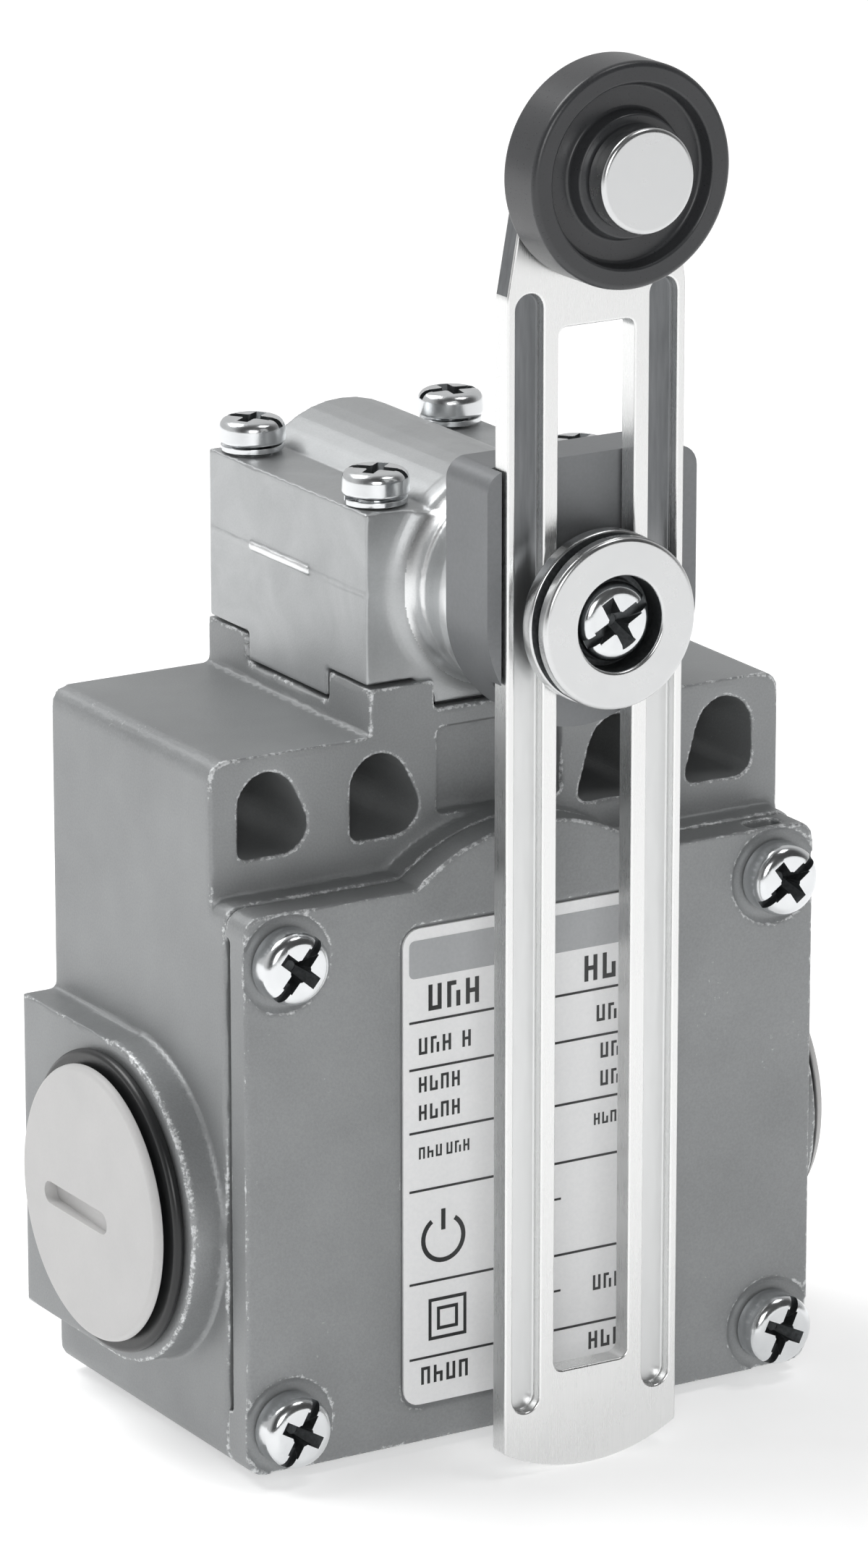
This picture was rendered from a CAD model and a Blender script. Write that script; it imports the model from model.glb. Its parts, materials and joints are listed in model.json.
# Looks of the limit switch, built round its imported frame.
#
# Pieces are drawn in millimetres above the underside of the casing, in the frame's own directions, and
# settle() brings them to metres. Where a piece goes is read from the frame's nodes.

import json
import math

import bmesh
import bpy
import numpy as np
from mathutils import Matrix, Vector

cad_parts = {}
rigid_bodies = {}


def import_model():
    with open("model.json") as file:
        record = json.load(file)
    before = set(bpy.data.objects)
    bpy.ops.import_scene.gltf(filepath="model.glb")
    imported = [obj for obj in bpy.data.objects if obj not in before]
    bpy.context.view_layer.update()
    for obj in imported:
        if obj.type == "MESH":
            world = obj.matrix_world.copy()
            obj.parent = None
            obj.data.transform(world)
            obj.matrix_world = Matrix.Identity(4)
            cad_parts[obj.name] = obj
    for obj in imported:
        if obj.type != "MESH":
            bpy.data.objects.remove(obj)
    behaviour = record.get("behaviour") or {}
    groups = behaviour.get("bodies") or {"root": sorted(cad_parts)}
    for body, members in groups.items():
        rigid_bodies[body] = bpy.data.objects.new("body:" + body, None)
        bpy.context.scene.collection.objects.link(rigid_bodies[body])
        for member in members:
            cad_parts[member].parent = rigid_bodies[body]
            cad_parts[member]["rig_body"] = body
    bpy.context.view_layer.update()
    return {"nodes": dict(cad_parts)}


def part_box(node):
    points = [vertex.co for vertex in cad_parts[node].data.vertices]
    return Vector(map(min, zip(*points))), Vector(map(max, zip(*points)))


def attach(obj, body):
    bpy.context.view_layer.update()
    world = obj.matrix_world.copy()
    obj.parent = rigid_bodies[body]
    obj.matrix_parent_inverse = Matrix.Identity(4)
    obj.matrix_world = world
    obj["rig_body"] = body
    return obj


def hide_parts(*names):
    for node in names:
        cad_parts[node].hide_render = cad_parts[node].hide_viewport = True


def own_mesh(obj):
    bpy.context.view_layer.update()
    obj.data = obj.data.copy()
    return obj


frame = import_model()
scene = bpy.context.scene

MM = 0.001
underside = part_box("housing")[0].z
TO_FRAME = Matrix.Translation((0, 0, underside)) @ Matrix.Scale(MM, 4)


def span(node):
    """Lowest and highest corner of a node, in millimetres above the underside of the casing."""
    return tuple((corner - Vector((0, 0, underside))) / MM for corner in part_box(node))


def middle(node):
    """Middle of a node's box, in millimetres above the underside of the casing."""
    low, high = span(node)
    return (low + high) / 2


def body_of(node):
    """The body that a node moves with."""
    return frame["nodes"][node]["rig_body"]


# ---------------------------------------------------------------------------------------------------
# Outlines and solids
# ---------------------------------------------------------------------------------------------------

TURN = {
    "x": Matrix.Rotation(math.pi / 2, 4, "Y"),
    "y": Matrix.Rotation(-math.pi / 2, 4, "X"),
    "z": Matrix.Identity(4),
}


def eased(corners, steps=4):
    """Closed outline of corners (across, along, fillet), each rounded by its fillet."""
    points = []
    for before, corner, after in zip(corners[-1:] + corners[:-1], corners, corners[1:] + corners[:1]):
        here = Vector(corner[:2])
        fillet = corner[2] if len(corner) > 2 else 0
        if not fillet:
            points.append(tuple(here))
            continue
        to_before = (Vector(before[:2]) - here).normalized()
        to_after = (Vector(after[:2]) - here).normalized()
        half = to_before.angle(to_after) / 2
        centre = here + (to_before + to_after).normalized() * fillet / math.sin(half)
        start = here + to_before * fillet / math.tan(half) - centre
        end = here + to_after * fillet / math.tan(half) - centre
        for i in range(steps + 1):
            points.append(tuple(centre + start.slerp(end, i / steps).normalized() * fillet))
    return points


def arc(centre, radius, first, last, steps):
    """Points of an arc between two angles in degrees."""
    angles = [math.radians(first + (last - first) * i / steps) for i in range(steps + 1)]
    return [(centre[0] + radius * math.cos(a), centre[1] + radius * math.sin(a)) for a in angles]


def turned(profile, axis, at, steps=96):
    """Solid turned about an axis through a point, from a profile of (radius, distance along the axis).
    A profile that ends where it starts is a ring; any other starts and ends on the axis."""
    solid = bmesh.new()
    ring = profile[0] == profile[-1]
    circles = []
    for radius, along in profile[:-1] if ring else profile:
        if radius < 1e-6:
            circles.append([solid.verts.new((0, 0, along))] * steps)
            continue
        angles = [2 * math.pi * i / steps for i in range(steps)]
        circles.append([solid.verts.new((radius * math.cos(a), radius * math.sin(a), along)) for a in angles])
    for low, high in zip(circles, circles[1:] + (circles[:1] if ring else [])):
        for i in range(steps):
            j = (i + 1) % steps
            face = list(dict.fromkeys([low[i], low[j], high[j], high[i]]))
            if len(face) > 2:
                solid.faces.new(face)
    bmesh.ops.recalc_face_normals(solid, faces=solid.faces)
    solid.transform(Matrix.Translation(at) @ TURN[axis])
    return solid


def prism(outline, axis, low, high):
    """Solid with this outline across the axis, from low to high along it."""
    place = {
        "x": lambda a, b, t: (t, a, b),
        "y": lambda a, b, t: (a, t, b),
        "z": lambda a, b, t: (a, b, t),
    }[axis]
    solid = bmesh.new()
    ends = [[solid.verts.new(place(a, b, t)) for a, b in outline] for t in (low, high)]
    for end in ends:
        solid.faces.new(end)
    for i in range(len(outline)):
        j = (i + 1) % len(outline)
        solid.faces.new([ends[0][i], ends[0][j], ends[1][j], ends[1][i]])
    bmesh.ops.recalc_face_normals(solid, faces=solid.faces)
    return solid


def rod(radius, low, high, at, steps):
    """Round bar along Y."""
    return turned([(0, low), (radius, low), (radius, high), (0, high)], "y", at, steps)


def block(low, high):
    """Solid box between two corners."""
    base = [(low[0], low[1]), (high[0], low[1]), (high[0], high[1]), (low[0], high[1])]
    return prism(base, "z", low[2], high[2])


def mesh_solid(piece):
    """Takes a helper piece's mesh as a solid, and removes the piece."""
    solid = bmesh.new()
    solid.from_mesh(piece.data)
    bpy.data.objects.remove(piece)
    return solid


def node_solid(node):
    """Copy of a node's solid, with its loose triangles merged."""
    solid = bmesh.new()
    solid.from_mesh(frame["nodes"][node].data)
    solid.transform(Matrix.Scale(1 / MM, 4) @ Matrix.Translation((0, 0, -underside)))
    bmesh.ops.remove_doubles(solid, verts=solid.verts, dist=0.002)
    return solid


# ---------------------------------------------------------------------------------------------------
# Pieces
# ---------------------------------------------------------------------------------------------------

def piece_of(name, *solids):
    """One object that holds these solids."""
    whole = bmesh.new()
    for solid in solids:
        part = bpy.data.meshes.new("part")
        solid.to_mesh(part)
        solid.free()
        whole.from_mesh(part)
        bpy.data.meshes.remove(part)
    mesh = bpy.data.meshes.new(name)
    whole.to_mesh(mesh)
    whole.free()
    piece = bpy.data.objects.new(name, mesh)
    scene.collection.objects.link(piece)
    return piece


def bake(piece):
    """Applies the piece's modifiers to its mesh."""
    depsgraph = bpy.context.evaluated_depsgraph_get()
    rough = piece.data
    piece.data = bpy.data.meshes.new_from_object(
        piece.evaluated_get(depsgraph), preserve_all_data_layers=True, depsgraph=depsgraph)
    piece.modifiers.clear()
    bpy.data.meshes.remove(rough)
    piece.data.name = piece.name
    return piece


def add_modifier(piece, kind, **settings):
    """Adds a modifier with its settings."""
    modifier = piece.modifiers.new(kind.lower(), kind)
    for name, value in settings.items():
        setattr(modifier, name, value)
    return modifier


def carve(piece, *cutters):
    """Takes the cutters away from a piece."""
    tool = piece_of("tool", *cutters)
    add_modifier(piece, "BOOLEAN", operation="DIFFERENCE", solver="EXACT", use_self=True, object=tool)
    bake(piece)
    bpy.data.objects.remove(tool)
    return piece


def soften(piece, width, angle=32, segments=3):
    """Rounds the sharp edges of a piece and shades it smooth between them."""
    add_modifier(
        piece, "BEVEL", width=width, segments=segments, limit_method="ANGLE", angle_limit=math.radians(angle),
        use_clamp_overlap=True, miter_outer="MITER_ARC")
    return shade(bake(piece))


def shade(piece):
    """Shades a piece smooth, with its broad faces kept flat."""
    piece.data.shade_smooth()
    add_modifier(piece, "WEIGHTED_NORMAL", weight=80, keep_sharp=True)
    return bake(piece)


def cast(name, solids, voxel, rounds, triangles):
    """Solids run together into one skin, as a casting: its edges and corners are soft, inside and out."""
    piece = piece_of(name, *solids)
    add_modifier(piece, "REMESH", mode="VOXEL", voxel_size=voxel)
    add_modifier(piece, "SMOOTH", factor=0.5, iterations=rounds)
    bake(piece)
    count = 2 * len(piece.data.polygons)
    add_modifier(piece, "DECIMATE", ratio=min(1, triangles / count))
    return shade(bake(piece))


def mark_edges(piece):
    """Stores on each point how sharply the surface turns outwards there, per millimetre. Coatings wear
    where it turns most."""
    mesh = piece.data
    points = np.zeros(len(mesh.vertices) * 3)
    mesh.vertices.foreach_get("co", points)
    points = points.reshape(-1, 3)
    normals = np.zeros(len(mesh.vertices) * 3)
    mesh.vertex_normals.foreach_get("vector", normals)
    normals = normals.reshape(-1, 3)
    ends = np.zeros(len(mesh.edges) * 2, int)
    mesh.edges.foreach_get("vertices", ends)
    first, second = ends.reshape(-1, 2).T
    along = points[second] - points[first]
    along /= np.maximum((along ** 2).sum(1, keepdims=True), 0.01)
    turn = np.zeros(len(points))
    count = np.zeros(len(points))
    np.add.at(turn, first, -(normals[first] * along).sum(1))
    np.add.at(turn, second, (normals[second] * along).sum(1))
    np.add.at(count, first, 1)
    np.add.at(count, second, 1)
    attribute = mesh.attributes.new("edge_turn", "FLOAT", "POINT")
    attribute.data.foreach_set("value", (turn / np.maximum(count, 1)).astype(np.float32))
    return piece


def mark_faces(piece, name, inside):
    """Stores on each face whether this test holds for its middle and its normal."""
    attribute = piece.data.attributes.new(name, "BOOLEAN", "FACE")
    attribute.data.foreach_set("value", [inside(face.center, face.normal) for face in piece.data.polygons])
    return piece


def settle(piece, body, nodes, finish, marked_finish=None, mark=None):
    """Brings a piece to metres in the frame, gives it its finish, with another one on its marked faces,
    and fixes it to its body."""
    piece.data.transform(TO_FRAME)
    piece.data.materials.clear()
    piece.data.materials.append(finish)
    if marked_finish:
        piece.data.materials.append(marked_finish)
        marked = [item.value for item in piece.data.attributes[mark].data]
        piece.data.polygons.foreach_set("material_index", [int(value) for value in marked])
    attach(piece, body)
    if nodes:
        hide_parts(*nodes)
    return piece


# ---------------------------------------------------------------------------------------------------
# Finishes
# ---------------------------------------------------------------------------------------------------

def linear(code):
    """Linear colour of an sRGB hex value."""
    parts = [int(code[i:i + 2], 16) / 255 for i in (1, 3, 5)]
    return (*[c / 12.92 if c <= 0.04045 else ((c + 0.055) / 1.055) ** 2.4 for c in parts], 1)


def add_node(tree, kind, inputs=None, **settings):
    """Adds a node with its settings. Its inputs are set to values, or linked to the sockets given."""
    node = tree.nodes.new(kind)
    for name, value in settings.items():
        setattr(node, name, value)
    for name, value in (inputs or {}).items():
        if isinstance(value, bpy.types.NodeSocket):
            tree.links.new(value, node.inputs[name])
        else:
            node.inputs[name].default_value = value
    return node


def start_finish(name, constants):
    """Starts a material: its node tree, its shader with the constants set, and the object's coordinates."""
    material = bpy.data.materials.new(name)
    material.use_nodes = True
    tree = material.node_tree
    tree.nodes.clear()
    shader = add_node(tree, "ShaderNodeBsdfPrincipled", constants)
    add_node(tree, "ShaderNodeOutputMaterial", {"Surface": shader.outputs["BSDF"]})
    place = add_node(tree, "ShaderNodeTexCoord").outputs["Object"]
    return material, tree, shader, place


def per_metre(size):
    """Scale of a pattern whose features are this many millimetres across."""
    return 1 / (size * MM)


def end_finish(material, shader, tone, gloss, relief=None):
    """Ends a material: links its colour, its roughness and any relief to its shader."""
    links = material.node_tree.links
    links.new(tone.outputs["Result"], shader.inputs["Base Color"])
    links.new(gloss.outputs["Result"], shader.inputs["Roughness"])
    if relief:
        links.new(relief.outputs["Normal"], shader.inputs["Normal"])
    return material


def grained_finish(name, constants, fine, tones, gloss, bump, slow=None, shares=(1, 1), stretch=(1, 1, 1)):
    """Material with a fine grain, and where asked a slower cloudiness, each given as the inputs of a
    noise. Its colour runs between two tones and its roughness between two values; the shares say how far
    each of the two follows the grain. The relief, a strength and a depth in millimetres, follows it too."""
    material, tree, shader, place = start_finish(name, constants)
    drawn = add_node(tree, "ShaderNodeMapping", {"Vector": place, "Scale": stretch})
    grain = add_node(tree, "ShaderNodeTexNoise", {"Vector": drawn.outputs["Vector"], **fine})
    clouds = add_node(tree, "ShaderNodeTexNoise", {"Vector": place, **slow}) if slow else grain
    tone_by, gloss_by = [
        add_node(tree, "ShaderNodeMix", {
            "Factor": share, "A": clouds.outputs["Fac"], "B": grain.outputs["Fac"]})
        for share in shares]
    tone = add_node(tree, "ShaderNodeMix", {
        "Factor": tone_by.outputs["Result"], "A": linear(tones[0]), "B": linear(tones[1])}, data_type="RGBA")
    rough = add_node(tree, "ShaderNodeMapRange", {"Value": gloss_by.outputs["Result"], **gloss})
    relief = add_node(tree, "ShaderNodeBump", {
        "Height": grain.outputs["Fac"], "Strength": bump[0], "Distance": bump[1] * MM})
    return end_finish(material, shader, tone, rough, relief)


def painted_zinc_casting():
    # Zinc die casting with a textured grey metallic powder coat: a soft half-metal sheen broken by a fine
    # grain, a slow unevenness over the faces, and a sparkle of bright metal where the edges are rubbed.
    # The grain is 0.2 mm, about twice as coarse as the real coat, so that it shows.
    material, tree, shader, place = start_finish("painted_zinc_casting", {"Metallic": 0.42})
    grain = add_node(tree, "ShaderNodeTexNoise", {
        "Vector": place, "Scale": per_metre(0.2), "Detail": 3.0, "Roughness": 0.65})
    slow = add_node(tree, "ShaderNodeTexNoise", {
        "Vector": place, "Scale": per_metre(9), "Detail": 3.0, "Roughness": 0.55})
    turn = add_node(tree, "ShaderNodeAttribute", attribute_name="edge_turn")
    rub = add_node(tree, "ShaderNodeTexNoise", {
        "Vector": place, "Scale": per_metre(0.45), "Detail": 5.0, "Roughness": 0.75})
    patch = add_node(tree, "ShaderNodeTexNoise", {"Vector": place, "Scale": per_metre(6), "Detail": 2.0})
    exposed = add_node(tree, "ShaderNodeMapRange", {
        "Value": turn.outputs["Fac"], "From Min": 0.05, "From Max": 0.45, "To Max": 0.24})
    spread = add_node(tree, "ShaderNodeMath", {
        0: patch.outputs["Fac"], 1: 0.35, 2: exposed.outputs["Result"]}, operation="MULTIPLY_ADD")
    bare = add_node(tree, "ShaderNodeMath", {
        0: rub.outputs["Fac"], 1: spread.outputs["Value"]}, operation="ADD")
    worn = add_node(tree, "ShaderNodeMapRange", {
        "Value": bare.outputs["Value"], "From Min": 0.88, "From Max": 1.0, "To Max": 0.75})
    mixed = add_node(tree, "ShaderNodeMix", {
        "Factor": 0.55, "A": slow.outputs["Fac"], "B": grain.outputs["Fac"]})
    coat = add_node(tree, "ShaderNodeMix", {
        "Factor": mixed.outputs["Result"], "A": linear("#747677"), "B": linear("#a9abac")}, data_type="RGBA")
    tone = add_node(tree, "ShaderNodeMix", {
        "Factor": worn.outputs["Result"], "A": coat.outputs["Result"], "B": linear("#e6e8e9")},
        data_type="RGBA")
    gloss = add_node(tree, "ShaderNodeMapRange", {
        "Value": grain.outputs["Fac"], "To Min": 0.36, "To Max": 0.56})
    height = add_node(tree, "ShaderNodeMath", {
        0: slow.outputs["Fac"], 1: 1.5, 2: grain.outputs["Fac"]}, operation="MULTIPLY_ADD")
    relief = add_node(tree, "ShaderNodeBump", {
        "Height": height.outputs["Value"], "Strength": 0.6, "Distance": 0.035 * MM})
    return end_finish(material, shader, tone, gloss, relief)


def blasted_zinc_casting():
    # Bare zinc die casting, shot blasted: pale grey metal, satin, with a 0.2 mm pitted grain and faint
    # cloudy flow marks. The pits are drawn a little coarser than they are.
    return grained_finish(
        "blasted_zinc_casting", {"Metallic": 0.85},
        fine={"Scale": per_metre(0.2), "Detail": 4.0, "Roughness": 0.65},
        slow={"Scale": per_metre(7), "Detail": 5.0, "Roughness": 0.6, "Distortion": 0.8},
        tones=("#989a9b", "#c6c8c9"), gloss={"To Min": 0.5, "To Max": 0.34}, bump=(0.5, 0.03),
        shares=(0.35, 0.35))


def zinc_plated_screw_steel():
    # Cold headed steel with bright zinc plating: mirror-like with a faint haze and small soft dents
    # about 0.5 mm across from tumbling.
    return grained_finish(
        "zinc_plated_screw_steel", {"Metallic": 1.0}, fine={"Scale": per_metre(0.5), "Detail": 2.0},
        slow={"Scale": per_metre(2), "Detail": 5.0, "Roughness": 0.6}, tones=("#cfd1d3", "#eceeef"),
        gloss={"From Min": 0.3, "From Max": 0.7, "To Min": 0.12, "To Max": 0.26}, bump=(0.35, 0.02),
        shares=(0, 0))


def oiled_recess_steel():
    # The same steel inside drive recesses and counterbores, where plating is thin and oil and dust stay:
    # dark, dull metal with a 0.3 mm blotch.
    return grained_finish(
        "oiled_recess_steel", {"Metallic": 0.9},
        fine={"Scale": per_metre(0.3), "Detail": 4.0, "Roughness": 0.6},
        tones=("#2f3132", "#6d7072"), gloss={"To Min": 0.35, "To Max": 0.6}, bump=(0.3, 0.02))


def turned_plated_steel(name, centre):
    # Turned steel, nickel plated: very bright, with fine rings round the turning axis. The tool marks
    # are drawn 0.12 mm apart, several times coarser than real ones.
    material, tree, shader, place = start_finish(name, {"Metallic": 1.0})
    centred = add_node(tree, "ShaderNodeMapping", {
        "Vector": place, "Location": tuple(-Vector(centre) * MM - Vector((0, 0, underside)))})
    apart = add_node(tree, "ShaderNodeSeparateXYZ", {"Vector": centred.outputs["Vector"]})
    flat = add_node(tree, "ShaderNodeCombineXYZ", {"X": apart.outputs["X"], "Z": apart.outputs["Z"]})
    radius = add_node(tree, "ShaderNodeVectorMath", {0: flat.outputs["Vector"]}, operation="LENGTH")
    along = add_node(tree, "ShaderNodeCombineXYZ", {"X": radius.outputs["Value"], "Y": apart.outputs["Y"]})
    marks = add_node(tree, "ShaderNodeTexNoise", {
        "Vector": along.outputs["Vector"], "Scale": per_metre(0.12), "Detail": 2.0})
    haze = add_node(tree, "ShaderNodeTexNoise", {
        "Vector": place, "Scale": per_metre(3), "Detail": 4.0, "Roughness": 0.6})
    tone = add_node(tree, "ShaderNodeMix", {
        "Factor": haze.outputs["Fac"], "A": linear("#c6c7c8"), "B": linear("#dddede")}, data_type="RGBA")
    gloss = add_node(tree, "ShaderNodeMapRange", {
        "Value": haze.outputs["Fac"], "From Min": 0.3, "From Max": 0.7, "To Min": 0.2, "To Max": 0.3})
    relief = add_node(tree, "ShaderNodeBump", {
        "Height": marks.outputs["Fac"], "Strength": 0.4, "Distance": 0.01 * MM})
    return end_finish(material, shader, tone, gloss, relief)


def brushed_plated_steel():
    # Stamped steel strip, brushed along its length and nickel plated: bright, with streaks that run the
    # length of the arm. The brush lines are drawn 0.1 mm apart, coarser than real ones.
    return grained_finish(
        "brushed_plated_steel", {"Metallic": 1.0},
        fine={"Scale": per_metre(0.1), "Detail": 3.0, "Roughness": 0.6},
        slow={"Scale": per_metre(5), "Detail": 5.0, "Roughness": 0.6}, tones=("#d6d7d7", "#f4f4f3"),
        gloss={"From Min": 0.3, "From Max": 0.7, "To Min": 0.22, "To Max": 0.34}, bump=(0.2, 0.008),
        shares=(0.5, 0.5), stretch=(1, 1, 0.02))


def rolled_groove_steel():
    # The floors of the arm's two grooves, left as rolled: dull and dark above the clamp, and rubbed
    # bright below it. The scale on it is a 0.4 mm mottle drawn out along the arm.
    material, tree, shader, place = start_finish("rolled_groove_steel", {"Metallic": 1.0})
    stretched = add_node(tree, "ShaderNodeMapping", {"Vector": place, "Scale": (1, 1, 0.1)})
    mottle = add_node(tree, "ShaderNodeTexNoise", {
        "Vector": stretched.outputs["Vector"], "Scale": per_metre(0.4), "Detail": 4.0})
    apart = add_node(tree, "ShaderNodeSeparateXYZ", {"Vector": place})
    rubbed = add_node(tree, "ShaderNodeMapRange", {
        "Value": apart.outputs["Z"], "From Min": 26 * MM, "From Max": 8 * MM},
        interpolation_type="SMOOTHSTEP")
    dull = add_node(tree, "ShaderNodeMix", {
        "Factor": mottle.outputs["Fac"], "A": linear("#5e6062"), "B": linear("#8a8c8e")}, data_type="RGBA")
    tone = add_node(tree, "ShaderNodeMix", {
        "Factor": rubbed.outputs["Result"], "A": dull.outputs["Result"], "B": linear("#dcdddd")},
        data_type="RGBA")
    gloss = add_node(tree, "ShaderNodeMapRange", {
        "Value": mottle.outputs["Fac"], "To Min": 0.3, "To Max": 0.45})
    return end_finish(material, shader, tone, gloss)


def phosphated_zinc_holder():
    # Zinc die casting with a dark phosphate coat: mid grey, satin, half metallic, with a 0.3 mm mottle.
    return grained_finish(
        "phosphated_zinc_holder", {"Metallic": 0.5},
        fine={"Scale": per_metre(0.3), "Detail": 4.0, "Roughness": 0.6},
        slow={"Scale": per_metre(6), "Detail": 3.0, "Roughness": 0.5}, tones=("#6c6e70", "#8c8e90"),
        gloss={"To Min": 0.38, "To Max": 0.52}, bump=(0.35, 0.02), shares=(0.5, 0.5))


def moulded_plastic(name, dark, light, rough, grain, depth):
    # Injection moulded plastic: even colour with a slight cloudiness, and the fine spark-eroded grain
    # of its mould, which breaks up the gloss.
    return grained_finish(
        name, {"Metallic": 0.0}, fine={"Scale": per_metre(grain), "Detail": 3.0, "Roughness": 0.6},
        slow={"Scale": per_metre(5), "Detail": 3.0, "Roughness": 0.5}, tones=(dark, light),
        gloss={"To Min": rough - 0.08, "To Max": rough + 0.08}, bump=(0.4, depth), shares=(0.4, 1))


def printed_foil(name, dark, light):
    # Self-adhesive polyester foil and its screen-printed inks: smooth and satin, with a weak 1.2 mm
    # ripple from the adhesive behind it and a slight 0.3 mm mottle in the colour.
    return grained_finish(
        name, {"Metallic": 0.0, "Coat Weight": 0.25, "Coat Roughness": 0.2},
        fine={"Scale": per_metre(1.2), "Detail": 2.0},
        slow={"Scale": per_metre(0.3), "Detail": 3.0, "Roughness": 0.6}, tones=(dark, light),
        gloss={"To Min": 0.34, "To Max": 0.46}, bump=(0.25, 0.02), shares=(0, 0))


def machined_metal(name, dark, light, rough):
    # Copper alloy, zinc or steel as machined: clear metal with streaky tone, 0.15 mm tool marks and a
    # roughness that wanders between them.
    return grained_finish(
        name, {"Metallic": 1.0}, fine={"Scale": per_metre(0.15), "Detail": 3.0}, tones=(dark, light),
        gloss={"To Min": rough - 0.08, "To Max": rough + 0.08}, bump=(0.25, 0.01), stretch=(0.15, 1, 1))


shaft_point = middle("clamp_disc")
roller_point = middle("roller")

painted_zinc = painted_zinc_casting()
bare_zinc = blasted_zinc_casting()
screw_steel = zinc_plated_screw_steel()
recess_steel = oiled_recess_steel()
disc_steel = turned_plated_steel("turned_plated_clamp_steel", shaft_point)
pin_steel = turned_plated_steel("turned_plated_pin_steel", roller_point)
arm_steel = brushed_plated_steel()
groove_steel = rolled_groove_steel()
holder_zinc = phosphated_zinc_holder()
roller_acetal = moulded_plastic("moulded_acetal_roller", "#2e2f31", "#414244", 0.3, 0.2, 0.012)
plug_polyamide = moulded_plastic("moulded_polyamide_plug", "#bababa", "#cecdcc", 0.5, 0.25, 0.015)
nitrile_rubber = moulded_plastic("moulded_nitrile_rubber", "#151617", "#242526", 0.34, 0.3, 0.012)
plunger_acetal = moulded_plastic("moulded_acetal_plunger", "#202123", "#34363a", 0.4, 0.2, 0.012)
block_thermoset = moulded_plastic("moulded_phenolic_block", "#2b2e31", "#3f4347", 0.5, 0.25, 0.02)
lid_polyamide = moulded_plastic("moulded_polyamide_lid", "#bfbdb2", "#d6d4ca", 0.45, 0.25, 0.015)
label_foil = printed_foil("screen_printed_polyester_foil", "#eeeff0", "#fbfbfb")
label_black = printed_foil("screen_printed_black_ink", "#1a1b1c", "#2c2d2e")
label_grey = printed_foil("screen_printed_grey_ink", "#a6a8aa", "#b6b8ba")
bush_bronze = machined_metal("sintered_bronze", "#8f7248", "#b3925c", 0.45)
cut_zinc = machined_metal("turned_zinc", "#dcdedf", "#f1f2f2", 0.32)
contact_brass = machined_metal("stamped_brass", "#b7934c", "#dcbc74", 0.3)
shaft_steel = machined_metal("ground_shaft_steel", "#b9bbbd", "#dcdedf", 0.24)
spring_steel = machined_metal("drawn_spring_steel", "#a8aaac", "#cfd1d3", 0.28)

# ---------------------------------------------------------------------------------------------------
# Casing, cover and label
# ---------------------------------------------------------------------------------------------------

entry = middle("cable_plug_right")
boss_face = span("housing")[1].x
boss_radius = 13.55
# The upper front quarter of each cable boss was drawn from the other half of the mould, and stands a
# little proud of the lower one.
quarter = [(entry.y, entry.z)] + arc((entry.y, entry.z), boss_radius + 0.13, 90, 180, 40)
boss_quarters = [
    prism(quarter, "x", low, high)
    for low, high in ((boss_face - 4, boss_face - 0.25), (0.25 - boss_face, 4 - boss_face))
]
housing = mark_edges(cast("housing_casting", [node_solid("housing"), *boss_quarters], 0.26, 3, 160000))
settle(housing, "switch_body", ["housing"], painted_zinc)

cover = mark_edges(cast("cover_casting", [node_solid("cover")], 0.2, 4, 80000))
settle(cover, "switch_body", ["cover"], painted_zinc)

plate_low, plate_high = span("rating_plate")


def rounded_sheet(low, high, front, back, radius):
    """Sheet across Y with rounded corners, between two (x, z) corners."""
    outline = eased([(low[0], low[1], radius), (high[0], low[1], radius), (high[0], high[1], radius),
                     (low[0], high[1], radius)], 6)
    return prism(outline, "y", front, back)


label = piece_of("label_foil_plate", rounded_sheet(
    (plate_low.x, plate_low.z), (plate_high.x, plate_high.z), plate_low.y, plate_high.y, 1.5))
settle(soften(label, 0.04, segments=2), "switch_body", ["rating_plate"], label_foil)

ink_front, ink_back = plate_low.y - 0.02, plate_low.y + 0.01


def ink_bar(x, z, length, height):
    """Bar of ink on the label, from x to the right and from z up."""
    return block((x, ink_front, z), (x + length, ink_back, z + height))


def ink_stroke(start, end, width):
    """Stroke of ink between two (x, z) points."""
    along = (Vector(end) - Vector(start)).normalized()
    side = Vector((-along.y, along.x)) * width / 2
    corners = [Vector(start) - side, Vector(end) - side, Vector(end) + side, Vector(start) + side]
    return prism([tuple(corner) for corner in corners], "y", ink_front, ink_back)


def ink_word(x, z, length, height):
    """Row of upright strokes joined in pairs, as dense as print of this height, but without meaning."""
    stroke, wide, pitch = 0.17 * height, 0.56 * height, 0.8 * height
    strokes = []
    for i in range(max(1, round(length / pitch))):
        left = x + i * pitch
        bar_z = z + (0, 0.42, 0.83)[(i * 2 + round(length)) % 3] * height
        strokes += [ink_bar(left, z, stroke, height),
                    ink_bar(left + wide - stroke, z, stroke, height * (0.6 if i % 3 == 1 else 1)),
                    ink_bar(left + stroke, bar_z, wide - 2 * stroke, stroke)]
    return strokes


def ink_ring(centre, outer, inner, first, last):
    """Part of a ring of ink between two angles in degrees."""
    outline = arc(centre, outer, first, last, 32) + arc(centre, inner, last, first, 32)
    return prism(outline, "y", ink_front, ink_back)


def ink_frame(x, z, size, stroke):
    """Square frame of ink."""
    return [ink_bar(x, z, size, stroke), ink_bar(x, z + size - stroke, size, stroke),
            ink_bar(x, z + stroke, stroke, size - 2 * stroke),
            ink_bar(x + size - stroke, z + stroke, stroke, size - 2 * stroke)]


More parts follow.
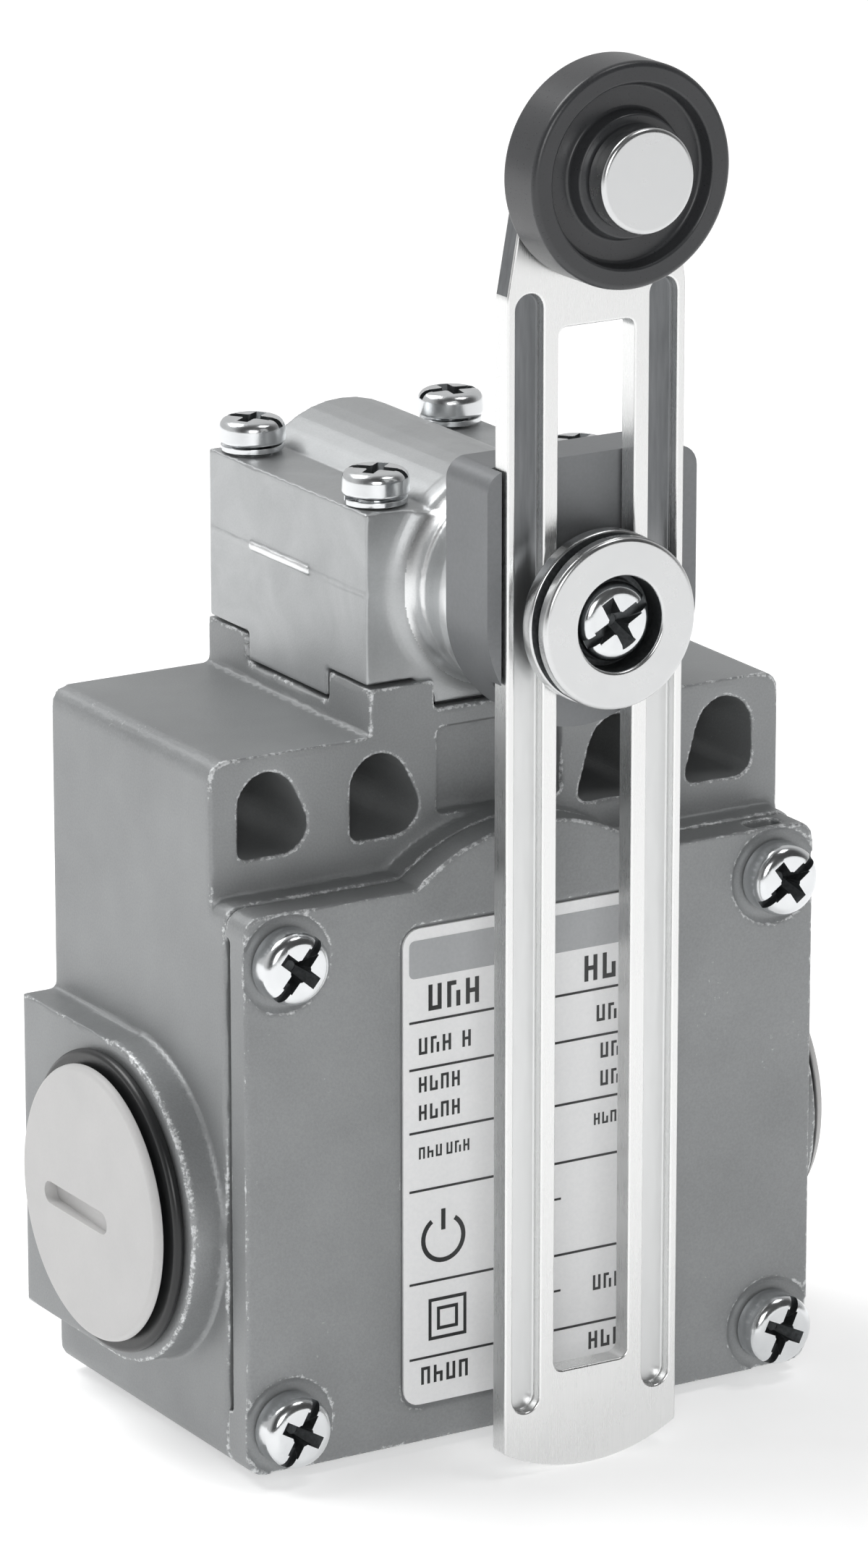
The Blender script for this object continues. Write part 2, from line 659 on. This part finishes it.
# Header band, rules across the plate, lines of print, a stand-by sign, a double-insulation sign, and a
# plain contact diagram: two terminals each side, a bridge that rests on one pair and is clear of the other.
left_edge, right_edge = plate_low.x + 0.55, plate_high.x - 0.55
band = piece_of("label_header_band", rounded_sheet(
    (left_edge, 39.8), (right_edge, plate_high.z - 1.0), ink_front, ink_back, 0.5))
settle(shade(band), "switch_body", [], label_grey)
rules = [ink_bar(left_edge, z, right_edge - left_edge, 0.2) for z in (36, 32, 26.6, 21.6, 13.6, 7.1)]
lines = []
for z, height, words in (
    (36.9, 2.2, ((1.2, 6.0), (16.0, 3.6))), (33.3, 1.4, ((0.3, 3.4), (4.4, 1.2), (17.2, 3.2))),
    (30.1, 1.3, ((0.3, 4.4), (17.6, 2.8))), (27.7, 1.3, ((0.3, 4.4), (17.6, 2.8))),
    (24.4, 1.0, ((0.3, 2.2), (2.9, 2.6), (17.0, 3.6))), (10.0, 1.3, ((17.0, 3.0),)),
    (4.9, 1.5, ((0.5, 4.6), (16.6, 3.8))),
):
    for start, length in words:
        lines += ink_word(left_edge + 0.6 + start, z, length, height)
sign = (left_edge + 3.2, 17.3)
lines += [ink_ring(sign, 2.1, 1.7, -235, 55), ink_bar(sign[0] - 0.2, sign[1] + 0.7, 0.4, 1.8)]
lines += ink_frame(left_edge + 1.8, 8.6, 3.6, 0.28) + ink_frame(left_edge + 2.6, 9.4, 2.0, 0.28)
diagram = []
for base, gap in ((18.6, 0.0), (10.6, 0.9)):
    diagram += [
        ink_stroke((-2.9, base), (-1.4, base), 0.18), ink_stroke((1.2, base), (2.7, base), 0.18),
        ink_stroke((-1.7, base + gap + 0.2), (1.5, base + gap + 0.2), 0.22),
        ink_stroke((-0.1, base + gap + 0.2), (-0.1, base + gap + 1.5), 0.18),
    ]
print_black = piece_of("label_print", *rules, *lines, *diagram)
settle(shade(print_black), "switch_body", [], label_black)

# ---------------------------------------------------------------------------------------------------
# Screws, washers and springs, set out by geometry nodes
# ---------------------------------------------------------------------------------------------------

def start_tree(name, sockets):
    """Starts a geometry tree with named inputs; gives the tree and its inputs' sockets by name."""
    tree = bpy.data.node_groups.new(name, "GeometryNodeTree")
    tree.interface.new_socket("Geometry", in_out="OUTPUT", socket_type="NodeSocketGeometry")
    for label_text, kind in sockets.items():
        tree.interface.new_socket(label_text, in_out="INPUT", socket_type=kind)
    return tree, add_node(tree, "NodeGroupInput").outputs


def end_tree(tree, geometry, finish):
    """Ends a tree with real geometry in its finish."""
    real = add_node(tree, "GeometryNodeRealizeInstances", {"Geometry": geometry})
    painted = add_node(tree, "GeometryNodeSetMaterial", {
        "Geometry": real.outputs["Geometry"], "Material": finish})
    add_node(tree, "NodeGroupOutput", {"Geometry": painted.outputs["Geometry"]})
    return tree


def grow(name, tree, values):
    """A plain mesh piece from a geometry tree and the values of its inputs."""
    piece = piece_of(name)
    modifier = add_modifier(piece, "NODES", node_group=tree)
    for label_text, value in values.items():
        modifier[tree.interface.items_tree[label_text].identifier] = value
    return bake(piece)


def corner_pattern():
    """Copies of one fastener on the corners of a rectangle, each turned by its own amount."""
    tree, inputs = start_tree("corner_pattern", {
        "Fastener": "NodeSocketObject", "Across": "NodeSocketFloat", "Up": "NodeSocketFloat",
        "Rows": "NodeSocketInt", "Centre": "NodeSocketVector", "Facing": "NodeSocketVector",
        "Seed": "NodeSocketInt", "Finish": "NodeSocketMaterial",
    })
    corners = add_node(tree, "GeometryNodeMeshGrid", {
        "Size X": inputs["Across"], "Size Y": inputs["Up"], "Vertices X": 2, "Vertices Y": inputs["Rows"]})
    fastener = add_node(tree, "GeometryNodeObjectInfo", {"Object": inputs["Fastener"]})
    turn = add_node(tree, "FunctionNodeRandomValue", {"Min": (0, 0, 0), "Max": (0, 0, 2 * math.pi),
                                                      "Seed": inputs["Seed"]}, data_type="FLOAT_VECTOR")
    copies = add_node(tree, "GeometryNodeInstanceOnPoints", {
        "Points": corners.outputs["Mesh"], "Instance": fastener.outputs["Geometry"],
        "Rotation": turn.outputs["Value"]})
    placed = add_node(tree, "GeometryNodeTransform", {
        "Geometry": copies.outputs["Instances"], "Translation": inputs["Centre"],
        "Rotation": inputs["Facing"]})
    return end_tree(tree, placed.outputs["Geometry"], inputs["Finish"])


def wire_coil():
    """Coil of round wire that stands on its base."""
    tree, inputs = start_tree("wire_coil", {
        "Radius": "NodeSocketFloat", "Wire": "NodeSocketFloat", "Height": "NodeSocketFloat",
        "Turns": "NodeSocketFloat", "Base": "NodeSocketVector", "Finish": "NodeSocketMaterial",
    })
    path = add_node(tree, "GeometryNodeCurveSpiral", {
        "Resolution": 40, "Rotations": inputs["Turns"], "Start Radius": inputs["Radius"],
        "End Radius": inputs["Radius"], "Height": inputs["Height"]})
    section = add_node(tree, "GeometryNodeCurvePrimitiveCircle", {"Resolution": 12, "Radius": inputs["Wire"]})
    wire = add_node(tree, "GeometryNodeCurveToMesh", {
        "Curve": path.outputs["Curve"], "Profile Curve": section.outputs["Curve"], "Fill Caps": True})
    placed = add_node(tree, "GeometryNodeTransform", {
        "Geometry": wire.outputs["Mesh"], "Translation": inputs["Base"]})
    return end_tree(tree, placed.outputs["Geometry"], inputs["Finish"])


def cross_screw(name, radius, height, shank, length, reach):
    """Pan-head screw along Z, the underside of its head at 0, with a cross recess and a screwdriver slot."""
    draft = 0.04 * radius
    screw = piece_of(name, turned(eased([
        (0, -length), (shank, -length, 0.3), (shank, -0.25), (shank + 0.15, 0), (radius, 0, 0.1 * radius),
        (radius - draft, height * 0.97, 0.3 * radius), (0, height),
    ], 5), "z", (0, 0, 0), 56))
    deep = 0.72 * height
    wing = 0.15 * radius
    cutters = []
    for quarter in range(4):
        flank = bmesh.new()
        low, high = height - deep, height + 0.5
        widen = 1 + 0.5 / deep
        points = [(0.0, -wing * 0.7, low), (0.2 * reach, -wing * 0.7, low), (0.2 * reach, wing * 0.7, low),
                  (0.0, wing * 0.7, low), (0.0, -wing * widen, high), (reach * widen, -wing * widen, high),
                  (reach * widen, wing * widen, high), (0.0, wing * widen, high)]
        corners = [flank.verts.new(point) for point in points]
        for face in ((0, 1, 2, 3), (4, 5, 6, 7), (0, 1, 5, 4), (1, 2, 6, 5), (2, 3, 7, 6), (3, 0, 4, 7)):
            flank.faces.new([corners[i] for i in face])
        bmesh.ops.recalc_face_normals(flank, faces=flank.faces)
        flank.transform(Matrix.Rotation(quarter * math.pi / 2, 4, "Z"))
        cutters.append(flank)
    core = 0.3 * radius
    cutters.append(turned([(0, height - deep - 0.1), (core * 0.5, height - deep), (core * 1.15, height + 0.5),
                           (0, height + 0.5)], "z", (0, 0, 0), 16))
    slot_half = 0.12 * radius
    cutters.append(block((-radius - 1, -slot_half, 0.68 * height), (radius + 1, slot_half, height + 0.5)))
    carve(screw, *cutters)
    soften(screw, 0.06, angle=40, segments=2)
    return mark_faces(screw, "in_recess", lambda at, way: (
        0.15 * height < at.z < 0.9 * height and at.x * way.x + at.y * way.y < 0.15
        and math.hypot(at.x, at.y) < 0.95 * radius))


def split_washer(name, inner, outer, thickness):
    """Spring lock washer: a square-section ring with a slanting split, its ends sprung a little apart."""
    ring = bmesh.new()
    steps = 60
    rows = []
    for i in range(steps + 1):
        angle = math.radians(94 + 352 * i / steps)
        rise = 0.22 * (i / steps - 0.5)
        rows.append([ring.verts.new((r * math.cos(angle), r * math.sin(angle), z + rise)) for r, z in (
            (inner, 0.14), (outer, 0.14), (outer, thickness - 0.14), (inner, thickness - 0.14))])
    for a, b in zip(rows, rows[1:]):
        for k in range(4):
            ring.faces.new([a[k], a[(k + 1) % 4], b[(k + 1) % 4], b[k]])
    ring.faces.new(rows[0])
    ring.faces.new(rows[-1])
    bmesh.ops.recalc_face_normals(ring, faces=ring.faces)
    washer = soften(piece_of(name, ring), 0.07, angle=40, segments=2)
    return mark_faces(washer, "in_recess", lambda at, way: False)


pattern = corner_pattern()
coil = wire_coil()
FRONT = (math.pi / 2, 0, 0)
UPWARD = (0, 0, 0)


def set_out(name, fastener, nodes, seat, facing, seed):
    """Sets copies of a fastener at the places of these nodes, with the undersides of their heads at seat
    along the axis that they face."""
    places = [middle(node) for node in nodes]
    low = Vector([min(place[k] for place in places) for k in range(3)])
    high = Vector([max(place[k] for place in places) for k in range(3)])
    up = 2 if facing == FRONT else 1
    centre = (low + high) / 2
    centre[1 if facing == FRONT else 2] = seat
    piece = grow(name, pattern, {
        "Fastener": fastener, "Across": high.x - low.x, "Up": high[up] - low[up],
        "Rows": 1 if high[up] - low[up] < 0.1 else 2, "Centre": centre, "Facing": facing, "Seed": seed,
        "Finish": screw_steel})
    bpy.data.objects.remove(fastener)
    return settle(piece, "switch_body", nodes, screw_steel, recess_steel, "in_recess")


def corner_nodes(kind, *rows):
    """Names of the nodes of this kind on the corners, row by row."""
    return [f"{kind}_{row}_{side}" for row in rows for side in ("left", "right")]


cover_screws = corner_nodes("cover_screw", "top", "bottom")
head_screws = corner_nodes("head_screw", "front", "rear")
head_washers = corner_nodes("spring_washer", "front", "rear")
terminal_screws = corner_nodes("terminal_screw", "upper", "lower")
block_screws = ["block_screw_left", "block_screw_right"]

set_out("cover_screws", cross_screw("cover_fastener", 3.1, 2.7, 1.55, 14, 1.9), cover_screws,
        span(cover_screws[0])[0].y + 2.7, FRONT, 4)
set_out("head_screws", cross_screw("head_fastener", 2.8, 2.05, 1.5, 19.3, 1.75), head_screws,
        span(head_screws[0])[1].z - 2.05, UPWARD, 11)
set_out("head_spring_washers", split_washer("head_lock_ring", 1.7, 2.6, 0.75), head_washers,
        span(head_washers[0])[0].z, UPWARD, 3)
set_out("terminal_screws", cross_screw("terminal_fastener", 2.8, 1.9, 1.5, 9, 1.75), terminal_screws,
        span(terminal_screws[0])[0].y + 1.9, FRONT, 6)
set_out("block_screws", cross_screw("block_fastener", 2.4, 1.6, 1.45, 18.3, 1.5), block_screws,
        span(block_screws[0])[0].y + 1.6, FRONT, 8)

spring_low, spring_high = span("return_spring")
return_spring = grow("return_coil", coil, {
    "Radius": 3.45, "Wire": 0.4, "Height": spring_high.z - spring_low.z - 0.8, "Turns": 5.0,
    "Base": ((spring_low.x + spring_high.x) / 2, (spring_low.y + spring_high.y) / 2, spring_low.z + 0.4),
    "Finish": spring_steel})
settle(shade(return_spring), body_of("return_spring"), ["return_spring"], spring_steel)
# The plunger presses the spring down onto its seat, by the plunger's travel.
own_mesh(return_spring)

small_low, small_high = span("contact_spring")
contact_spring = grow("contact_coil", coil, {
    "Radius": 1.5, "Wire": 0.25, "Height": small_high.z - small_low.z - 0.5, "Turns": 4.0,
    "Base": ((small_low.x + small_high.x) / 2, (small_low.y + small_high.y) / 2, small_low.z + 0.25),
    "Finish": spring_steel})
settle(shade(contact_spring), body_of("contact_spring"), ["contact_spring"], spring_steel)

# ---------------------------------------------------------------------------------------------------
# Cable plugs and their seals
# ---------------------------------------------------------------------------------------------------

entry_x = span("cable_plug_right")[1].x


def cable_plug(side):
    """Screwed plug with a flat face, a rounded rim and a coin slot that deepens towards the back."""
    name = "right" if side > 0 else "left"
    face = entry_x
    profile = eased([
        (0, face), (11.5, face, 0.55), (11.5, face - 0.7, 0.08), (9, face - 0.7, 0.1),
        (9, face - 8.8, 0.4), (7.2, face - 8.8), (7.2, face - 1.8), (0, face - 1.8),
    ])
    plug = piece_of(f"plug_{name}", turned(profile, "x", (0, entry.y, entry.z), 128))
    floor_line = [(face + 1, -3.5), (face + 1, 8.4), (face - 1.1, 8.4), (face - 1.1, 5.6), (face - 0.5, -3.5)]
    slot_z = entry.z - 1
    slot_tool = piece_of("slot", prism(
        [(along, entry.y + behind) for along, behind in floor_line], "z", slot_z - 3, slot_z + 3))
    outline = arc((entry.y + 6.6, slot_z), 0.95, -90, 90, 12)
    outline += arc((entry.y - 2.2, slot_z), 0.95, 90, 270, 12)
    add_modifier(slot_tool, "BOOLEAN", operation="INTERSECT", solver="EXACT",
                 object=piece_of("slot_outline", prism(outline, "x", face - 3, face + 3)))
    bake(slot_tool)
    bpy.data.objects.remove(bpy.data.objects["slot_outline"])
    carve(plug, mesh_solid(slot_tool))
    if side < 0:
        plug.data.transform(Matrix.Scale(-1, 4, (1, 0, 0)))
        plug.data.flip_normals()
    settle(soften(plug, 0.2), "switch_body", [f"cable_plug_{name}"], plug_polyamide)


def plug_seal(side):
    """Rubber ring under the rim of the plug, with a full round edge."""
    name = "right" if side > 0 else "left"
    low, high = span(f"plug_seal_{name}")
    near, far = (low.x, high.x) if side > 0 else (high.x, low.x)
    inner, outer = 9.4, (high.z - low.z) / 2
    thick = abs(far - near)
    profile = [(inner, near), (outer - thick / 2, near)]
    profile += [(outer - thick / 2 + thick / 2 * math.cos(a), near + side * thick / 2 * (1 + math.sin(a)))
                for a in [math.pi * (i / 10 - 0.5) for i in range(1, 10)]]
    profile += [(outer - thick / 2, far), (inner, far), (inner, near)]
    ring = piece_of(f"seal_{name}", turned(profile, "x", (0, entry.y, entry.z), 128))
    settle(soften(ring, 0.1, angle=50), "switch_body", [f"plug_seal_{name}"], nitrile_rubber)


for side in (-1, 1):
    cable_plug(side)
    plug_seal(side)

# ---------------------------------------------------------------------------------------------------
# Head
# ---------------------------------------------------------------------------------------------------

head_low, head_high = span("head_body")
shaft_z = shaft_point.z
barrel_end = head_low.y
nose = barrel_end + 7.5
face_reach = (head_low.x, head_high.x)
# The two halves of the mould met at the height of the shaft: a low ridge, with a trimmed stub of flash
# on the left face.
parting = [
    block((min(x, x + inwards), -25.8, shaft_z - 0.5), (max(x, x + inwards), -0.8, shaft_z - 0.2))
    for x, inwards in ((face_reach[0] - 0.07, 0.5), (face_reach[1] + 0.07, -0.5))
]
flash = block((face_reach[0] - 0.3, -17, shaft_z - 0.6), (face_reach[0] + 0.5, -7.5, shaft_z - 0.05))
barrel_skin = turned([
    (6, -25), (9.27, -25), (9.27, nose), (9.0, nose - 0.7), (8.7, nose - 1.3), (8.5, nose - 2.0),
    (8.42, nose - 2.8), (8.46, nose - 3.6), (8.6, nose - 4.4), (8.84, nose - 5.2), (9.08, nose - 6.0),
    (9.13, nose - 6.7), (9.13, barrel_end + 0.02), (6.02, barrel_end + 0.02), (6, -25),
], "y", (0, 0, shaft_z), 160)
# Hollow fillet between the front face and the barrel, up to the top of the block.
hollow = 2.5
fillet = piece_of("fillet", turned(
    [(8, nose + 1), (11.1, nose + 1)] + arc((11.1, nose - hollow), hollow, 90, 180, 10)
    + [(8, nose - hollow), (8, nose + 1)],
    "y", (0, 0, shaft_z), 128))
carve(fillet, block((-15, -40, head_high.z - 3.2), (15, 0, 100)), block((-15, -40, 40), (15, 0, 60.9)))
head_solids = [node_solid("head_body"), barrel_skin, mesh_solid(fillet), flash, *parting]
head = cast("head_casting", head_solids, 0.17, 3, 120000)
mark_faces(head, "is_cut", lambda at, way: (
    at.x < face_reach[0] - 0.12 and abs(at.z - shaft_z + 0.3) < 0.5 and -17.3 < at.y < -7.2
    or at.y < nose - 0.9 and math.hypot(at.x, at.z - shaft_z) < 9.7))
settle(head, "switch_body", ["head_body"], bare_zinc, cut_zinc, "is_cut")

# ---------------------------------------------------------------------------------------------------
# Lever: thrust washer, holder, clamp disc and screw
# ---------------------------------------------------------------------------------------------------

shaft_axis = (0, 0, shaft_z)


def ring_profile(inner, outer, front, back, fillet):
    """Profile of a flat ring with its edges broken by a fillet."""
    corners = [(inner, front, fillet), (outer, front, fillet), (outer, back, fillet), (inner, back, fillet)]
    return eased(corners, 3)


def washer(name, node, inner, fillet, axis_point, body, finish):
    """Flat washer with its edges broken, in a node's place."""
    low, high = span(node)
    profile = ring_profile(inner, (high.z - low.z) / 2, low.y, high.y, fillet)
    piece = piece_of(name, turned(profile + profile[:1], "y", axis_point, 96))
    return settle(shade(piece), body, [node], finish)


washer("thrust_ring", "thrust_washer", 4.1, 0.12, shaft_axis, "lever_head", disc_steel)

holder_low, holder_high = span("lever_holder")
web = holder_high.y - 4.7
lip = 1.3
half = holder_high.x
outline = [(half, shaft_z), (half, holder_high.z, 1.7), (-half, holder_high.z, 1.7), (-half, shaft_z)]
outline = eased(outline, 6) + arc((0, shaft_z), half, 180, 360, 48)[1:-1]
lever_holder = piece_of("holder_casting", prism(outline, "y", holder_low.y, holder_high.y))
carve(lever_holder,
      block((-half + lip, holder_low.y - 1, shaft_z - 12), (half - lip, web, holder_high.z + 1)),
      rod(3.65, holder_low.y - 1, holder_high.y + 1, shaft_axis, 64))
settle(soften(lever_holder, 0.32), "lever_head", ["lever_holder"], holder_zinc)

arm_low, arm_high = span("lever_arm")
disc_low, disc_high = span("clamp_disc")
recess_floor = disc_low.y + 2.3
seat = arm_low.y - 0.05
disc_profile = eased([
    (2.2, disc_high.y), (3.3, disc_high.y, 0.1), (3.3, seat), (6.6, seat, 0.1), (7.1, seat - 0.5, 0.2),
    (7.1, seat - 1.6, 0.2), (6.2, seat - 1.75, 0.1), (6.2, seat - 2.45, 0.1), (7.0, seat - 2.6, 0.2),
    (7.0, disc_low.y, 0.4), (3.9, disc_low.y, 0.25), (3.9, recess_floor, 0.15), (2.2, recess_floor),
])
clamp_disc = piece_of("clamp_collar", turned(disc_profile + disc_profile[:1], "y", shaft_axis, 128))
mark_faces(clamp_disc, "in_recess", lambda at, way: (
    math.hypot(at.x, at.z - shaft_z) < 3.93 and at.y > disc_low.y + 0.3
    or math.hypot(at.x, at.z - shaft_z) < 6.9 and seat - 2.65 < at.y < seat - 1.65))
settle(shade(clamp_disc), "lever_head", ["clamp_disc"], disc_steel, recess_steel, "in_recess")

clamp_front = span("clamp_screw")[0].y
clamp_screw = cross_screw("clamp_fastener", 3.3, 1.9, 2, 12.5, 2.1)
clamp_screw.data.transform(
    Matrix.Translation((0, clamp_front + 1.9, shaft_z)) @ Matrix.Rotation(math.pi / 2, 4, "X")
    @ Matrix.Rotation(0.5, 4, "Z"))
settle(clamp_screw, "lever_head", ["clamp_screw"], screw_steel, recess_steel, "in_recess")

# ---------------------------------------------------------------------------------------------------
# Slotted arm and roller
# ---------------------------------------------------------------------------------------------------

half = arm_high.x
sag = 2.2
foot_radius = (half ** 2 + sag ** 2) / (2 * sag)
foot_turn = math.degrees(math.asin(half / foot_radius))
outline = arc((0, arm_low.z + foot_radius), foot_radius, -90 - foot_turn, -90 + foot_turn, 24)
outline += eased([(half, arm_low.z + 10), (half, 97, 3), (6.0, 109.2), (0, 109.2)], 6)[1:-2]
outline += arc((0, roller_point.z), 6.4, 18, 162, 40)
outline += eased([(0, 109.2), (-6.0, 109.2), (-half, 97, 3), (-half, arm_low.z + 10)], 6)[2:-1]
arm = piece_of("arm_strip", prism(outline, "y", arm_low.y, arm_high.y))
slot_outline = eased([(-3.5, 7.6, 0.8), (3.5, 7.6, 0.8), (3.5, 94.3, 0.8), (-3.5, 94.3, 0.8)], 5)
grooves = [
    prism(eased([(low, 4.6, 1.25), (high, 4.6, 1.25), (high, 97.3, 1.25), (low, 97.3, 1.25)], 8),
          "y", arm_low.y - 1, arm_low.y + 1)
    for low, high in ((-7.45, -4.9), (4.9, 7.45))
]
roller_axis = (0, 0, roller_point.z)
carve(arm, prism(slot_outline, "y", arm_low.y - 1, arm_high.y + 1), *grooves,
      rod(2.1, arm_low.y - 1, arm_high.y + 1, roller_axis, 48))
soften(arm, 0.2)
mark_faces(arm, "in_groove", lambda at, way: 4.95 < abs(at.x) < 7.4 and abs(at.y - arm_low.y - 1) < 0.1)
settle(arm, "slotted_arm", ["lever_arm"], arm_steel, groove_steel, "in_groove")

wheel_low, wheel_high = span("roller")
wheel_profile = eased([
    (3.05, wheel_high.y, 0.15), (9, wheel_high.y, 0.5), (9, wheel_low.y, 0.5), (7.3, wheel_low.y, 0.25),
    (7.05, wheel_low.y + 1.3, 0.3), (5.15, wheel_low.y + 1.3, 0.3), (4.9, wheel_low.y, 0.2),
    (3.05, wheel_low.y, 0.15),
], 5)
wheel = piece_of("roller_tyre", turned(wheel_profile + wheel_profile[:1], "y", roller_axis, 160))
settle(shade(wheel), "roller_wheel", ["roller"], roller_acetal)

pin_low, pin_high = span("roller_pin")
pin_profile = eased([
    (0, pin_low.y), (4.2, pin_low.y, 0.4), (4.2, wheel_low.y - 0.15, 0.15), (3, wheel_low.y - 0.15),
    (3, seat), (2.05, seat), (2.05, arm_high.y + 0.05), (3.1, arm_high.y + 0.05, 0.2),
    (2.5, pin_high.y, 0.35), (0, pin_high.y),
], 5)
pin = piece_of("roller_rivet", turned(pin_profile, "y", roller_axis, 96))
settle(shade(pin), "slotted_arm", ["roller_pin"], pin_steel)
washer("roller_spacer", "roller_washer", 3.1, 0.06, roller_axis, "slotted_arm", pin_steel)

# ---------------------------------------------------------------------------------------------------
# Pieces that keep their frame shape
# ---------------------------------------------------------------------------------------------------

kept = {
    "cover_gasket": nitrile_rubber, "head_gasket": nitrile_rubber, "shaft_seal": nitrile_rubber,
    "front_bush": bush_bronze, "rear_bush": bush_bronze, "shaft": shaft_steel, "plunger": plunger_acetal,
    "contact_block_base": block_thermoset, "contact_block_lid": lid_polyamide,
    "contact_carrier": lid_polyamide,
    "normally_closed_bridge": contact_brass, "normally_open_bridge": contact_brass,
    **dict.fromkeys(corner_nodes("fixed_contact", "upper", "lower"), contact_brass),
    "earth_washer": contact_brass, "earth_screw": screw_steel,
}
for node, finish in kept.items():
    for material_slot in frame["nodes"][node].material_slots:
        material_slot.material = finish

# ---------------------------------------------------------------------------------------------------
# Studio
# ---------------------------------------------------------------------------------------------------

def studio_floor():
    # Matt white acrylic light table: even and pale, lit from within, with a barely seen mottle.
    material, tree, shader, place = start_finish("matt_white_light_table", {
        "Roughness": 0.9, "Emission Color": linear("#ffffff"), "Emission Strength": 0.42})
    fibres = add_node(tree, "ShaderNodeTexNoise", {"Vector": place, "Scale": per_metre(3), "Detail": 4.0})
    tone = add_node(tree, "ShaderNodeMix",
                    {"Factor": fibres.outputs["Fac"], "A": linear("#f1f1f1"), "B": linear("#f6f6f6")},
                    data_type="RGBA")
    tree.links.new(tone.outputs["Result"], shader.inputs["Base Color"])
    solid = block((-4000, -4000, arm_low.z - 3), (4000, 4000, arm_low.z - 0.05))
    floor = piece_of("floor", solid)
    floor.data.transform(TO_FRAME)
    floor.data.materials.append(material)


studio_floor()


def studio_sky():
    """White room that is dark on the side where the camera stands."""
    world = bpy.data.worlds.new("white_room")
    world.use_nodes = True
    tree = world.node_tree
    tree.nodes.clear()
    way = add_node(tree, "ShaderNodeTexCoord").outputs["Generated"]
    facing = add_node(tree, "ShaderNodeVectorMath", {0: way, 1: (-0.1, -0.92, 0.38)}, operation="DOT_PRODUCT")
    tone = add_node(tree, "ShaderNodeMapRange",
                    {"Value": facing.outputs["Value"], "From Min": -0.15, "From Max": 0.6, "To Min": 1.0,
                     "To Max": 0.12}, interpolation_type="SMOOTHSTEP")
    light = add_node(tree, "ShaderNodeBackground", {"Color": tone.outputs["Result"], "Strength": 0.62})
    add_node(tree, "ShaderNodeOutputWorld", {"Surface": light.outputs["Background"]})
    scene.world = world


def studio_light(name, place, aim, size, power):
    """Soft square light at a place in metres, aimed at a point."""
    data = bpy.data.lights.new(name, "AREA")
    data.shape, data.size, data.energy = "SQUARE", size, power
    light = bpy.data.objects.new(name, data)
    light.location = place
    light.rotation_euler = (Vector(aim) - Vector(place)).to_track_quat("-Z", "Y").to_euler()
    scene.collection.objects.link(light)


studio_sky()
studio_light("key", (-0.4, 0.5, 0.95), (0, 0, 0), 0.6, 7.5)
studio_light("fill", (-0.5, -1.05, 0.4), (0, -0.02, 0), 0.5, 4)
studio_light("floor_light", (0.35, -0.35, 1.0), (0.05, -0.15, -0.055), 0.35, 1.8)

view_azimuth, view_elevation = math.radians(-30.88), math.radians(16.49)
aim = Vector((-0.00231, -0.0201, -0.00202))
back = Vector((math.sin(view_azimuth) * math.cos(view_elevation),
               -math.cos(view_azimuth) * math.cos(view_elevation), math.sin(view_elevation)))
camera_data = bpy.data.cameras.new("camera")
camera_data.lens = 178.05
camera_data.sensor_width = 36
camera_data.sensor_fit = "AUTO"
camera = bpy.data.objects.new("camera", camera_data)
camera.location = aim + back * 0.63375
camera.rotation_euler = (-back).to_track_quat("-Z", "Y").to_euler()
scene.collection.objects.link(camera)
scene.camera = camera
scene.view_settings.view_transform = "Standard"
